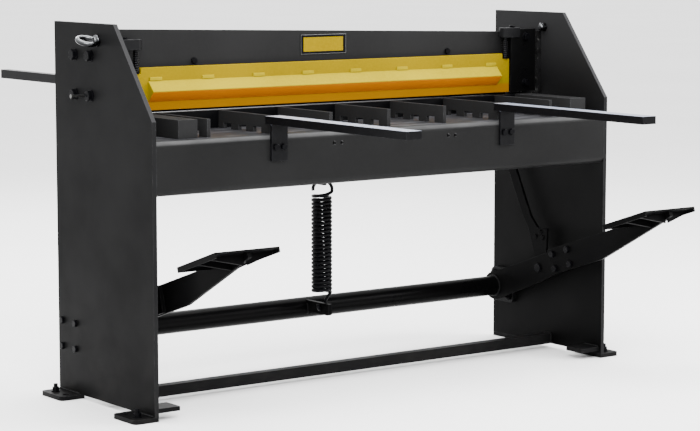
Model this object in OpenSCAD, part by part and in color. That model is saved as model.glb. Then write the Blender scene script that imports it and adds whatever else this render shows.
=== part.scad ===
// Foot-operated guillotine shear for sheet metal.
// Millimetres. X runs along the blades, +Y to the rear, +Z up.
// The origin is on the floor, at the centre of the four floor anchor holes.

/* [Side plates] */
// Clear width between the two side plates
inner_w = 1528; // [1508:4:1548]
// Thickness of each side plate
plate_t = 12; // [10:1:14]
// Depth of a side plate at its base
plate_d = 495; // [491:1:499]
// Height of a side plate
plate_h = 1000; // [985:5:1020]
// Depth of a side plate's top edge
top_d = 308; // [300:2:316]
// Height of the foot of the sloping front edge
slope_z = 759; // [750:1:765]

/* [Feet] */
// Thickness of the floor pads
pad_t = 12; // [12:1:12]
// Width that a floor pad shows outside its side plate
pad_out = 60; // [56:1:66]
// Length of a floor pad
pad_l = 115; // [110:1:120]
// Distance of a levelling bolt from the end of its pad
jack_in = 35; // [30:1:38]
// Distance of an anchor hole from the end of its pad
anchor_in = 92; // [88:1:96]
// Diameter of the floor anchor holes
anchor_d = 17; // [14:0.5:18]

/* [Table] */
// Height of the table above the bottom of the side plates
table_h = 757; // [757:1:757]
// Number of ribs that carry the sheet
rib_n = 7; // [5:2:7]
// Spacing of the ribs
rib_pitch = 195; // [190:1:196]
// Thickness of a rib
rib_t = 10; // [6:1:12]
// Thickness of the folded front beam
beam_t = 8; // [6:1:8]
// Spacing of the two holes of an arm mounting
arm_hole_pitch = 25; // [24:1:26]

/* [Blades] */
// Length of each blade
blade_l = 1304; // [1280:4:1304]
// Thickness of each blade
blade_w = 16; // [16:1:16]
// Rise of the upper blade along its length, per mm
rake = 0.0282; // [0.026:0.0002:0.029]
// Working stroke of the upper blade
stroke = 48; // [46:1:48]

/* [Hold-down] */
// Half length of the hold-down plate
hold_x = 653; // [640:1:653]
// Height of the hold-down plate
hold_h = 115; // [105:1:115]
// Thickness of the hold-down plate
hold_t = 10; // [8:1:10]

/* [Treadle] */
// Outside diameter of the torque tube
tube_d = 60; // [54:1:62]
// Wall of the torque tube
tube_wall = 5; // [3:0.5:6]
// Length of a pedal, along its slope
pedal_l = 182; // [170:1:190]
// Width of a pedal
pedal_w = 190; // [180:1:200]
// Slope of the pedals and of their arms at rest
pedal_a = 18; // [18:1:18]

/* [Main spring] */
// Mean diameter of the coil
spring_d = 50; // [48:0.2:51]
// Diameter of the wire
wire_d = 8.6; // [8:0.1:8.8]
// Number of turns
turns = 24; // [18:1:26]

/* [Support arms] */
// Length of a front support arm
arm_l = 607; // [560:1:640]
// Width of a front support arm
arm_w = 47; // [44:1:52]
// Height of a front support arm
arm_h = 21; // [20:1:25]

/* [Back gauge] */
// Length of a back gauge arm
gauge_l = 620; // [560:5:640]
// Side of a square back gauge arm
gauge_s = 25; // [20:1:25]

/* [Hidden] */

xi = inner_w/2;
xo = xi + plate_t;
yf = -plate_d/2;
yb = plate_d/2;
z0 = pad_t;
zt = z0 + table_h;              // table level
beam_z = z0 + 567;              // bottom of the front beam
shelf_z = zt - 48;              // top of the front beam's shelf
cut_y = 66.5;                   // cutting plane, the upper blade's front face
bed_y = cut_y - 0.3 - blade_w;  // rear face of the bed beam
knife_y = cut_y + blade_w;      // front face of the knife beam
knife_t = 20;
hold_y = 50.5;                  // front face of the hold-down plate
hold_z = zt + 6;                // its bottom edge at rest
tube_y = 190.5;
tube_z = 168;
link_y = -19.5; link_z = 247;   // lower pivot of the links
top_y = 132.5; top_z = 557;     // upper pivot of the links
lev_x = 715;                    // inner face of the levers
gx = [xi - 12.5, xi];           // guide rail, inner and outer face
tools_z = 689;                  // row of holes for the support arms
stud_x = 640;
brk_z = 938;                    // underside of a spring bracket
spr_y = 101;                   // main spring

// ---------- helpers ----------
module along_x(x0, x1) { translate([x0, 0, 0]) rotate([90, 0, 90]) linear_extrude(x1 - x0) children(); }
module yz(x0, x1, pts) { along_x(x0, x1) polygon(pts); }
module xz(y0, y1, pts) { translate([0, y1, 0]) rotate([90, 0, 0]) linear_extrude(y1 - y0) polygon(pts); }
module box(x0, x1, y0, y1, za, zb) { translate([x0, y0, za]) cube([x1 - x0, y1 - y0, zb - za]); }
module rod_x(x0, x1, y, z, r, f = 48) { translate([x0, y, z]) rotate([0, 90, 0]) cylinder(h = x1 - x0, r = r, $fn = f); }
module rod_y(y0, y1, x, z, r, f = 48) { translate([x, y1, z]) rotate([90, 0, 0]) cylinder(h = y1 - y0, r = r, $fn = f); }
module rod_z(za, zb, x, y, r, f = 48) { translate([x, y, za]) cylinder(h = zb - za, r = r, $fn = f); }
module both() { children(); mirror([1, 0, 0]) children(); }
// hexagonal bolt along +X: head below x0, shank from x0 to x0+len
module hex_x(x0, y, z, d, len, af, hh) {
  rod_x(x0 - 0.01, x0 + len, y, z, d/2);
  translate([x0 - hh, y, z]) rotate([0, 90, 0]) cylinder(h = hh, d = af/cos(30), $fn = 6);
}
module hex_y(y0, x, z, d, len, af, hh) {
  rod_y(y0 - 0.01, y0 + len, x, z, d/2);
  translate([x, y0, z]) rotate([90, 0, 0]) cylinder(h = hh, d = af/cos(30), $fn = 6);
}
module nut_x(x0, y, z, d, af, t) translate([x0, y, z]) rotate([0, 90, 0]) difference() {
  cylinder(h = t, d = af/cos(30), $fn = 6);
  translate([0, 0, -1]) cylinder(h = t + 2, d = d, $fn = 48);
}
module nut_y(y0, x, z, d, af, t) translate([x, y0 + t, z]) rotate([90, 0, 0]) difference() {
  cylinder(h = t, d = af/cos(30), $fn = 6);
  translate([0, 0, -1]) cylinder(h = t + 2, d = d, $fn = 48);
}
module ring_x(x0, x1, y, z, ro, ri) difference() { rod_x(x0, x1, y, z, ro); rod_x(x0 - 1, x1 + 1, y, z, ri); }
module round_rect(w, l, r) {
  translate([r, 0]) square([w - 2*r, l]);
  translate([0, r]) square([w, l - 2*r]);
  for (x = [r, w - r], y = [r, l - r]) translate([x, y]) circle(r, $fn = 32);
}
// round wire swept along a list of points, its section carried along without twisting
function unit(v) = v/norm(v);
function tangent(p, i) = unit(p[min(i + 1, len(p) - 1)] - p[max(i - 1, 0)]);
function carry(u, t) = unit(u - (u*t)*t);
module wire(p, r, sides = 6, u0 = [1, 0, 0]) {
  n = len(p);
  us = [for (i = 0, u = carry(u0, tangent(p, 0)); i < n; i = i + 1, u = carry(u, tangent(p, min(i, n - 1)))) u];
  pts = [for (i = [0:n - 1]) let (t = tangent(p, i), u = us[i], v = cross(t, u))
         for (k = [0:sides - 1]) p[i] + r*(cos(360*k/sides)*u + sin(360*k/sides)*v)];
  faces = concat([[for (k = [sides - 1:-1:0]) k]],
    [for (i = [0:n - 2], k = [0:sides - 1]) let (a = i*sides + k, b = i*sides + (k + 1) % sides) [a, b, b + sides]],
    [for (i = [0:n - 2], k = [0:sides - 1]) let (a = i*sides + k, b = i*sides + (k + 1) % sides) [a, b + sides, a + sides]],
    [[for (k = [0:sides - 1]) (n - 1)*sides + k]]);
  polyhedron(pts, [for (f = faces) [for (j = [len(f) - 1:-1:0]) f[j]]]);
}

// ---------- frame ----------
guide_bolt_y = [56, 137.5];
guide_bolt_z = [z0 + 809.5, z0 + 914.5];
bear_off = 35;
eye_y = 20; eye_z = z0 + 955;
gib_y = 92.5; gib_z = z0 + 808;

module side_plate() {
  difference() {
    yz(xi, xo, [[yf, z0], [yb, z0], [yb, z0 + plate_h], [yb - top_d, z0 + plate_h], [yf, z0 + slope_z]]);
    for (y = guide_bolt_y, z = guide_bolt_z) rod_x(xi - 1, xo + 1, y, z, 8.5);
    for (y = [-1, 1]*bear_off, z = [-1, 1]*bear_off) rod_x(xi - 1, xo + 1, tube_y + y, tube_z + z, 5.5);
    rod_x(xi - 1, xo + 1, eye_y, eye_z, 8.5);
    rod_x(xi - 1, xo + 1, gib_y, gib_z, 3.5);
  }
}
module left_side_plate() color([0.17, 0.17, 0.18]) mirror([1, 0, 0]) side_plate();
module right_side_plate() color([0.17, 0.17, 0.18]) side_plate();

module front_beam() color([0.2, 0.2, 0.21]) difference() {
  along_x(-xi, xi) {
    r = 20;
    translate([yf, beam_z + r]) square([beam_t, shelf_z - beam_z - 2*r]);
    translate([yf + r, shelf_z - beam_t]) square([bed_y - 20 - yf - r, beam_t]);
    translate([yf + r, beam_z]) square([40, beam_t]);
    for (s = [0, 1]) translate([yf + r, s == 0 ? shelf_z - r : beam_z + r]) difference() {
      intersection() { circle(r, $fn = 64); translate([-r, s == 0 ? 0 : -r]) square([r, r]); }
      circle(r - beam_t, $fn = 64);
    }
  }
  for (x = [-2, -1, 1, 2]*rib_pitch, d = [-1, 1]*arm_hole_pitch/2) rod_y(yf - 1, yf + beam_t + 1, x + d, tools_z, 5.5);
  for (x = [gauge_lx, gauge_rx], y = [-175, -20]) rod_z(shelf_z - beam_t - 1, shelf_z + 1, x, y, 5.05);
}

module table_ribs() color([0.2, 0.2, 0.21])
  for (i = [0:rib_n - 1]) translate([(i - (rib_n - 1)/2)*rib_pitch, 0, 0]) difference() {
    yz(-rib_t/2, rib_t/2, [[yf + 32, shelf_z], [bed_y - 20, shelf_z], [bed_y - 20, zt], [yf + 32, zt]]);
    for (k = [0:2]) box(-rib_t, rib_t, yf + 72 + 72*k, yf + 72 + 72*k + 36, shelf_z - 1, shelf_z + 15);
  }

screw_x = [for (i = [0:7]) (i - 3.5)*174];
module bed_beam() color([0.2, 0.2, 0.21]) difference() {
  union() {
    box(-xi, xi, bed_y - 20, bed_y, z0 + 580, zt);
    box(-xi, xi, bed_y - 70, bed_y - 20, z0 + 580, z0 + 590);
  }
  for (x = screw_x) rod_y(bed_y - 21, bed_y + 1, x, zt - 30, 6.5);
  both() box(688, xi + 1, bed_y - 21, bed_y + 1, zt - 31, zt + 1);
  both() box(653.5, xi + 1, bed_y - 6, bed_y + 1, zt - 50, zt + 1);
}
module lower_blade() color([0.75, 0.76, 0.78]) difference() {
  box(-blade_l/2, blade_l/2, bed_y, bed_y + blade_w, zt - 60, zt);
  for (x = screw_x) {
    rod_y(bed_y - 1, bed_y + blade_w + 1, x, zt - 30, 6.5);
    rod_y(bed_y + blade_w - 11, bed_y + blade_w + 1, x, zt - 30, 10);
  }
}
module lower_blade_screws() color([0.12, 0.12, 0.13]) for (x = screw_x) {
  difference() {
    union() {
      rod_y(bed_y + blade_w - 11, bed_y + blade_w - 1, x, zt - 30, 9);
      rod_y(bed_y - 36, bed_y + blade_w - 10.9, x, zt - 30, 6);
    }
    translate([x, bed_y + blade_w, zt - 30]) rotate([90, 0, 0]) cylinder(h = 7, d = 11.5, $fn = 6);
  }
  nut_y(bed_y - 30, x, zt - 30, 12, 18, 10);
}

module side_gauge(x) difference() {
  box(x - 29, x + 29, yf + 30, bed_y - 20.3, shelf_z, shelf_z + 49);
  for (y = [-175, -20]) {
    rod_z(shelf_z - 1, shelf_z + 60, x, y, 5.5);
    rod_z(shelf_z + 38, shelf_z + 60, x, y, 9);
  }
}
gauge_lx = -650; gauge_rx = 688;
module left_side_gauge() color([0.2, 0.2, 0.21]) side_gauge(gauge_lx);
module right_side_gauge() color([0.2, 0.2, 0.21]) side_gauge(gauge_rx);
module side_gauge_screws() color([0.12, 0.12, 0.13]) for (x = [gauge_lx, gauge_rx], y = [-175, -20]) difference() {
  union() { rod_z(shelf_z - 16, shelf_z + 38.1, x, y, 5); rod_z(shelf_z + 38, shelf_z + 48, x, y, 8); }
  translate([x, y, shelf_z + 42]) cylinder(h = 8, d = 9.2, $fn = 6);
}

module lower_crossbar() color([0.2, 0.2, 0.21]) along_x(-xi, xi) translate([-24.5, z0]) difference() {
  square(30);
  translate([3, 3]) square(24);
}

anchor_y = plate_d/2 - anchor_in;
jack_y = plate_d/2 - jack_in;
pad_x = xo + 32;
module outer_foot_plates() color([0.2, 0.2, 0.21]) both() for (m = [0, 1]) mirror([0, m, 0]) difference() {
  translate([xi, yf, 0]) linear_extrude(pad_t) difference() {
    union() { round_rect(plate_t + pad_out, pad_l, 14); square([20, pad_l]); }
  }
  rod_z(-1, pad_t + 1, pad_x, -anchor_y, anchor_d/2);
  rod_z(-1, pad_t + 1, pad_x, -jack_y, 6.5);
}
module inner_foot_plates() color([0.2, 0.2, 0.21]) both()
  box(xi - 70, xi, yf + 9, yf + 75, z0 + 8, z0 + 20);
module levelling_bolts() color([0.2, 0.2, 0.21]) both() for (m = [0, 1]) mirror([0, m, 0]) {
  rod_z(1, 34, pad_x, -jack_y, 6);
  translate([pad_x, -jack_y, pad_t + 2.5]) difference() {
    cylinder(h = 10, d = 18/cos(30), $fn = 6);
    translate([0, 0, -1]) cylinder(h = 12, d = 12, $fn = 48);
  }
  translate([pad_x, -jack_y, pad_t]) difference() {
    cylinder(h = 2.5, d = 24, $fn = 48);
    translate([0, 0, -1]) cylinder(h = 5, d = 12, $fn = 48);
  }
}

// vertical guide channels for the ends of the knife beam
module guide_rails() color([0.42, 0.42, 0.42]) both() difference() {
  box(gx[0], gx[1], 34.5, 188.5, z0 + 754, z0 + 943);
  box(gx[0] - 1, gx[1] - 6, knife_y - 0.4, knife_y + knife_t + 0.4, z0 + 750, z0 + 950);
  for (y = guide_bolt_y, z = guide_bolt_z) rod_x(gx[0] + 4, gx[1] + 1, y, z, 8);
  rod_x(gx[1] - 6.5, gx[1] + 1, gib_y, gib_z, 3);
}
module guide_bolts() color([0.3, 0.3, 0.31]) both() for (y = guide_bolt_y, z = guide_bolt_z) {
  rod_x(gx[0] + 4.5, xo + 4.01, y, z, 8);
  ring_x(xo, xo + 4, y, z, 15.5, 8);
  translate([xo + 4, y, z]) rotate([0, 90, 0]) cylinder(h = 10, d = 24/cos(30), $fn = 6);
}
module eye_bolts() color([0.8, 0.8, 0.82]) both() translate([xo, eye_y, eye_z]) {
  rotate([0, 90, 0]) translate([0, 0, -31]) cylinder(h = 32, r = 8, $fn = 48);
  rotate([0, 90, 0]) cylinder(h = 7, r = 16, $fn = 48);
  rotate([0, 90, 0]) translate([0, 0, 7]) cylinder(h = 5, r1 = 13, r2 = 9, $fn = 48);
  rotate([19, 0, 0]) translate([30.5, 0, 0]) rotate_extrude($fn = 64) translate([24.5, 0]) circle(7, $fn = 24);
  nut_x(-plate_t - 13, 0, 0, 16, 24, 13);
}
module gib_screws() color([0.85, 0.85, 0.87]) both() {
  rod_x(gx[1] - 5.5, xo + 1, gib_y, gib_z, 3);
  rod_x(xo + 0.8, xo + 32, gib_y, gib_z, 3.6);
  rod_x(xo + 31.9, xo + 41, gib_y, gib_z, 5.2);
}
module bearing_housings() color([0.14, 0.14, 0.15]) both() difference() {
  union() {
    along_x(xi - 14, xi) translate([tube_y - 52, tube_z - 52]) round_rect(104, 104, 16);
    rod_x(xi - 30, xi - 13.9, tube_y, tube_z, 36, 64);
  }
  rod_x(xi - 31, xi + 1, tube_y, tube_z, 20, 64);
  for (y = [-1, 1]*bear_off, z = [-1, 1]*bear_off) rod_x(xi - 15, xi + 1, tube_y + y, tube_z + z, 5.5);
}
module bearing_bushes() color([0.72, 0.5, 0.25]) both() ring_x(xi - 30, xi - 0.5, tube_y, tube_z, 20, 15.05);
module bearing_bolts() color([0.6, 0.6, 0.62]) both() for (y = [-1, 1]*bear_off, z = [-1, 1]*bear_off) {
  rod_x(xi - 28, xo + 0.01, tube_y + y, tube_z + z, 5);
  translate([xo, tube_y + y, tube_z + z]) rotate([0, 90, 0]) cylinder(h = 7, d = 17/cos(30), $fn = 6);
  nut_x(xi - 22, tube_y + y, tube_z + z, 10, 17, 8);
}
module spring_anchor() color([0.2, 0.2, 0.21]) difference() {
  yz(-4, 4, [[bed_y, z0 + 600], [bed_y, z0 + 582], [spr_y - 18, z0 + 521], [spr_y + 16, z0 + 521], [spr_y + 16, z0 + 560], [bed_y + 30, z0 + 600]]);
  rod_x(-8, 8, spr_y, z0 + 538, 9.6);
}
arm_y0 = yf + 26;
module support_arm(x) {
  box(x - arm_w/2, x + arm_w/2, arm_y0 - arm_l, arm_y0, zt - arm_h, zt);
  difference() {
    box(x - 25.5, x + 25.5, yf - 8, yf, z0 + 640, zt - arm_h);
    for (d = [-1, 1]*arm_hole_pitch/2) rod_y(yf - 9, yf + 1, x + d, tools_z, 5.5);
  }
}
module left_support_arm() color([0.1, 0.1, 0.11]) support_arm(-2*rib_pitch);
module right_support_arm() color([0.1, 0.1, 0.11]) support_arm(2*rib_pitch);
module support_arm_bolts() color([0.25, 0.25, 0.27]) for (x = [-2, 2]*rib_pitch, d = [-1, 1]*arm_hole_pitch/2) {
  hex_y(yf - 8, x + d, tools_z, 10, 28, 16, 7);
  nut_y(yf + beam_t, x + d, tools_z, 10, 16, 8);
}
// tension spring: lower hook, coil, upper hook, all one wire
spr_z0 = z0 + 211.5; spr_z1 = z0 + 483.5;
loop_dir = -36; // the upper loop stands in this direction
function pol(r, z) = [r*cos(loop_dir), spr_y + r*sin(loop_dir), z];
module main_spring() color([0.12, 0.12, 0.13]) {
  R = spring_d/2;
  lo = [for (i = [0:12]) let (a = -200 + i*15) [13*cos(a), spr_y, z0 + 173 + 13*sin(a)]];
  lo2 = [for (f = [0.3, 0.6, 0.85]) let (e = pol(R, spr_z0 - 3)) [12 + (e[0] - 12)*f*f, spr_y + (e[1] - spr_y)*f*f, z0 + 178 + (e[2] - z0 - 178)*f]];
  coil = [for (i = [0:12*turns]) let (a = 30*i + loop_dir) [R*cos(a), spr_y + R*sin(a), spr_z0 + (spr_z1 - spr_z0)*i/(12*turns)]];
  // most of a turn more, which rises into the upper loop
  turn = [for (i = [1:10]) let (a = 30*i + loop_dir, f = max(0, i - 6)/6) [(R + 2*f)*cos(a), spr_y + (R + 2*f)*sin(a), spr_z1 + 11.3*i/12 + 6*f*f]];
  up = [for (i = [0:14]) let (a = -20 + i*15) pol(2.4 + 27*cos(a), z0 + 509 + 25*sin(a))];
  wire(concat(lo, lo2, coil, turn, up), wire_d/2, 6, [0, 1, 0]);
}

// ---------- knife beam ----------
function top_at(x) = z0 + 961 - rake*x;
function blade_at(x) = zt + 23.6 - rake*x;
module knife_beam() color([0.24, 0.24, 0.25]) {
  xe = gx[1] - 7;
  difference() {
    xz(knife_y, knife_y + knife_t, [[-xe, blade_at(-xe) + 4], [xe, blade_at(xe) + 4], [xe, top_at(xe)], [-xe, top_at(-xe)]]);
    for (x = screw_x) rod_y(knife_y - 1, knife_y + knife_t + 1, x, blade_at(x) + 35, 6.5);
    for (s = [-1, 1], z = [z0 + 789, z0 + 927]) rod_y(knife_y - 1, knife_y + knife_t + 1, s*711, z, 6.5);
    for (x = [-440, 440]) rod_y(knife_y - 1, knife_y + knife_t + 1, x, z0 + 890, 5.5);
  }
  xz(knife_y + knife_t, knife_y + knife_t + 60, [[-640, top_at(-640) - 26], [640, top_at(640) - 26], [640, top_at(640) - 14], [-640, top_at(-640) - 14]]);
}
module upper_blade() color([0.75, 0.76, 0.78]) difference() {
  xz(cut_y, cut_y + blade_w, [[-blade_l/2, blade_at(-blade_l/2)], [blade_l/2, blade_at(blade_l/2)],
    [blade_l/2, blade_at(blade_l/2) + 70], [-blade_l/2, blade_at(-blade_l/2) + 70]]);
  for (x = screw_x) {
    rod_y(cut_y - 1, cut_y + blade_w + 1, x, blade_at(x) + 35, 6.5);
    rod_y(cut_y - 1, cut_y + 11, x, blade_at(x) + 35, 10);
  }
}
module upper_blade_screws() color([0.12, 0.12, 0.13]) for (x = screw_x) {
  difference() {
    union() {
      rod_y(cut_y + 1, cut_y + 11, x, blade_at(x) + 35, 9);
      rod_y(cut_y + 10.9, cut_y + blade_w + knife_t + 14, x, blade_at(x) + 35, 6);
    }
    translate([x, cut_y + 7, blade_at(x) + 35]) rotate([90, 0, 0]) cylinder(h = 7, d = 11.5, $fn = 6);
  }
  nut_y(knife_y + knife_t, x, blade_at(x) + 35, 12, 18, 10);
}
module slide_blocks() color([0.13, 0.13, 0.14]) both() difference() {
  xz(45.5, knife_y, [[655.5, zt + 6], [gx[0] - 0.5, zt + 6], [gx[0] - 0.5, z0 + 950], [685.5, z0 + 950], [685.5, brk_z], [655.5, brk_z]]);
  for (z = [z0 + 789, z0 + 927]) rod_y(44, knife_y + 1, 711, z, 6.5);
  rod_z(brk_z - 30, brk_z + 1, 672, 62, 5);
}
module knife_beam_bolts() color([0.55, 0.55, 0.57]) {
  both() for (z = [z0 + 789, z0 + 927]) {
    hex_y(41.5, 711, z, 12, knife_y + knife_t - 41.5 + 14, 18, 8);
    translate([711, 45.5, z]) rotate([90, 0, 0]) difference() { cylinder(h = 4, d = 26, $fn = 48); translate([0, 0, -1]) cylinder(h = 6, d = 12, $fn = 48); }
    nut_y(knife_y + knife_t, 711, z, 12, 18, 10);
  }
  for (x = [-440, 440]) {
    hex_y(knife_y, x, z0 + 890, 10, knife_t + 12, 16, 7);
    nut_y(knife_y + knife_t, x, z0 + 890, 10, 16, 8);
  }
}
module spring_brackets() color([0.22, 0.22, 0.23]) both() difference() {
  union() {
    box(stud_x, 685, 38.5, knife_y, brk_z, brk_z + 28);
    rod_z(brk_z, brk_z + 28, stud_x, hold_y + hold_t/2, 17, 64);
  }
  rod_z(brk_z - 1, brk_z + 30, stud_x, hold_y + hold_t/2, 6.5);
  rod_z(brk_z - 1, brk_z + 30, 672, 62, 5);
}
module bracket_screws() color([0.5, 0.5, 0.52]) both() {
  rod_z(brk_z - 28, brk_z + 28.01, 672, 62, 5);
  translate([672, 62, brk_z + 28]) cylinder(h = 6.4, d = 16/cos(30), $fn = 6);
}
hs_z0 = hold_z + hold_h - 16; // seat of a hold-down spring
module hold_down_springs() color([0.35, 0.35, 0.36]) both() {
  n = 10; r = 9.6; w = 0.8;
  wire([for (i = [0:12*n]) let (a = 30*i, f = i/(12*n)) [stud_x + r*cos(a), hold_y + hold_t/2 + r*sin(a), hs_z0 + 3.5 + (brk_z - hs_z0 - 5)*f]], w, 6, [1, 0, 0]);
}
plate_x = -7; // the nameplate sits a little left of the middle
module nameplate_frame() color([0.1, 0.1, 0.11]) difference() {
  box(plate_x - 79, plate_x + 79, knife_y - 2, knife_y, z0 + 894.8, z0 + 951.3);
  box(plate_x - 69, plate_x + 69, knife_y - 3, knife_y + 1, z0 + 902.6, z0 + 943.6);
}
module nameplate_panel() color([0.95, 0.85, 0.1]) box(plate_x - 68.5, plate_x + 68.5, knife_y - 1.2, knife_y, z0 + 903.1, z0 + 943.1);
drop_x = [735.5, 743.3];
module drop_arms() color([0.18, 0.18, 0.19]) both() difference() {
  union() {
    yz(drop_x[0], drop_x[1], [[knife_y + knife_t, z0 + 880], [knife_y + knife_t, top_z], [top_y + 26, top_z], [top_y + 26, z0 + 820], [knife_y + knife_t + 20, z0 + 880]]);
    rod_x(drop_x[0], drop_x[1], top_y, top_z, 26);
  }
  rod_x(drop_x[0] - 1, drop_x[1] + 1, top_y, top_z, 8);
}
lk_x = [726.5, 734.7];
module upper_link_pins() color([0.6, 0.6, 0.62]) both() {
  rod_x(720.5, drop_x[1], top_y, top_z, 8);
  ring_x(722, 725.5, top_y, top_z, 15, 8);
}
module gauge_arm() {
  box(663.5, 663.5 + gauge_s, knife_y + knife_t + 8, knife_y + knife_t + gauge_l, z0 + 820, z0 + 820 + gauge_s);
  box(651, 701, knife_y + knife_t, knife_y + knife_t + 8, z0 + 800, z0 + 865);
}
module left_gauge_arm() color([0.12, 0.12, 0.13]) mirror([1, 0, 0]) gauge_arm();
module right_gauge_arm() color([0.12, 0.12, 0.13]) gauge_arm();

// ---------- hold-down ----------
module hold_down_plate() color([0.98, 0.87, 0.02]) difference() {
  xz(hold_y, hold_y + hold_t, [[-hold_x, hold_z], [hold_x, hold_z], [hold_x, hs_z0], [hold_x - 26, hs_z0], [hold_x - 26, hold_z + hold_h],
    [-hold_x + 26, hold_z + hold_h], [-hold_x + 26, hs_z0], [-hold_x, hs_z0]]);
}
module hold_down_ridge() color([0.98, 0.9, 0.3]) {
  difference() {
    yz(-604, 604, [[hold_y, z0 + 785], [hold_y, z0 + 843], [hold_y - 27, z0 + 814]]);
    yz(-600, 600, [[hold_y + 1, z0 + 791.2], [hold_y + 1, z0 + 836.8], [hold_y, z0 + 836.8], [hold_y - 21.4, z0 + 814], [hold_y, z0 + 791.2]]);
  }
  for (i = [0:7]) translate([(i - 3.5)*166, 0, 0]) box(-19, 19, hold_y - 3, hold_y, z0 + 843, z0 + 852);
}
module hold_down_studs() color([0.16, 0.16, 0.17]) both() {
  rod_z(hs_z0, brk_z + 27, stud_x, hold_y + hold_t/2, 5.8);
  translate([stud_x, hold_y + hold_t/2, hs_z0]) difference() { cylinder(h = 2.2, d = 20, $fn = 48); translate([0, 0, -1]) cylinder(h = 5, r = 5.8, $fn = 48); }
}

// ---------- treadle ----------
module torque_tube() color([0.16, 0.16, 0.17]) difference() {
  rod_x(-lev_x, lev_x, tube_y, tube_z, tube_d/2, 96);
  rod_x(-lev_x - 1, lev_x + 1, tube_y, tube_z, tube_d/2 - tube_wall, 96);
}
module stub_shafts() color([0.6, 0.6, 0.62]) both() {
  rod_x(lev_x - 60, lev_x, tube_y, tube_z, tube_d/2 - tube_wall, 64);
  rod_x(lev_x - 0.01, xi - 1.5, tube_y, tube_z, 15, 64);
}
module lever() difference() {
  union() {
    yz(lev_x, lev_x + 10, [[-187.5, 344], [68.5, 252], [tube_y + 15, 207], [tube_y + 15, 132], [tube_y - 13, 126], [-11.5, 198], [-111.5, 242], [-207.5, 275]]);
    rod_x(lev_x, lev_x + 10, tube_y, tube_z, 42, 64);
  }
  rod_x(lev_x - 1, lev_x + 11, tube_y, tube_z, 15);
  rod_x(lev_x - 1, lev_x + 11, link_y, link_z, 8);
  for (p = joint_holes) rod_x(lev_x - 1, lev_x + 11, p[0], p[1], 6.5);
}
// bolts that join a pedal arm to its lever, as [y, z]
jc = [-134, 287];
joint_holes = [for (a = [-34.5, 34.5], b = [-22, 22]) [jc[0] + a*cos(pedal_a) - b*sin(pedal_a)*-1, jc[1] - a*sin(pedal_a) + b*cos(pedal_a)]];
module left_lever() color([0.17, 0.17, 0.18]) mirror([1, 0, 0]) lever();
module right_lever() color([0.17, 0.17, 0.18]) lever();
// top line of the arms and underside of the pedals
function pz(y) = 284.4 - y*tan(pedal_a);
module pedal_arm() difference() {
  yz(lev_x - 10, lev_x, [[-69.5, pz(-69.5)], [-583, pz(-583)], [-590, pz(-583) - 14], [-543.5, 432], [-309.5, 306], [-92.5, 234.5]]);
  for (p = joint_holes) rod_x(lev_x - 11, lev_x + 1, p[0], p[1], 6.5);
}
module left_pedal_arm() color([0.2, 0.2, 0.21]) mirror([1, 0, 0]) pedal_arm();
module right_pedal_arm() color([0.2, 0.2, 0.21]) pedal_arm();
module arm_joint_bolts() color([0.14, 0.14, 0.15]) both() for (p = joint_holes) {
  hex_x(lev_x - 10, p[0], p[1], 12, 30, 18, 8);
  nut_x(lev_x + 10, p[0], p[1], 12, 18, 8);
}
// x is the pedal's middle
module pedal(x) {
  p0 = [0, -418.5, pz(-418.5)];
  translate([x, p0[1], p0[2]]) rotate([-pedal_a, 0, 0]) {
    w = pedal_w/2;
    box(-w - 8, w - 8, -pedal_l, 0, 0, 4.6);
    for (s = [-1, 1]) box(s*w - 8 - (s + 1)*2, s*w - 8 - (s - 1)*2, -pedal_l, 0, -10, 0.1);
    for (s = [-1, 1]) box(s < 0 ? -w - 4 : 5.3, s < 0 ? -5.3 : w - 12, -4, 0, -10, 0.1);
    // ribs and gussets between the arm and the plate
    for (s = [-1, 1]) for (y = [-90, -150]) translate([0, y, 0])
      xz(-3, 3, [[s*5.3, 0.1], [s*w - 8 - s*3, 0.1], [s*w - 8 - s*3, -8], [s*5.3, -30]]);
  }
}
ped_x = lev_x - 5;
module left_pedal() color([0.16, 0.16, 0.17]) pedal(-ped_x);
module right_pedal() color([0.16, 0.16, 0.17]) pedal(ped_x);
module spring_lever() color([0.16, 0.16, 0.17]) difference() {
  union() {
    yz(-6, 6, [[59.5, z0 + 151], [59.5, z0 + 181], [tube_y, z0 + 181], [tube_y, z0 + 148], [66, z0 + 148]]);
  }
  rod_x(-7, 7, spr_y, z0 + 161, 6.6);
  rod_x(-7, 7, tube_y, tube_z, tube_d/2, 96);
}
module lower_link_pins() color([0.6, 0.6, 0.62]) both() {
  rod_x(lev_x - 6, 741, link_y, link_z, 8);
  rod_x(lev_x - 6, lev_x, link_y, link_z, 13);
  ring_x(736, 739, link_y, link_z, 14, 8);
}

// ---------- links ----------
module link() difference() {
  union() {
    rod_x(lk_x[0], lk_x[1], link_y, link_z, 20);
    yz(lk_x[0], lk_x[1], [[-38, 252], [-2, 238], [43, 366], [-43.5, 366]]);
    yz(lk_x[0], lk_x[1], [[10, 330], [40, 358], [67, 395], [top_y + 15, top_z - 8], [top_y - 15, top_z + 8], [33, 400], [0, 366]]);
    rod_x(lk_x[0], lk_x[1], top_y, top_z, 19);
    for (p = link_bolts) translate([lk_x[0] - 4, p[0], p[1]]) rotate([0, 90, 0]) cylinder(h = 4.01, d = 13/cos(30), $fn = 6);
  }
  rod_x(lk_x[0] - 1, lk_x[1] + 1, link_y, link_z, 8.05);
  rod_x(lk_x[0] - 1, lk_x[1] + 1, top_y, top_z, 9.8);
}
link_bolts = [[8.5, 339], [-13.5, 354], [-24, 338]];
module left_link() color([0.18, 0.18, 0.19]) mirror([1, 0, 0]) link();
module right_link() color([0.18, 0.18, 0.19]) link();

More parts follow.
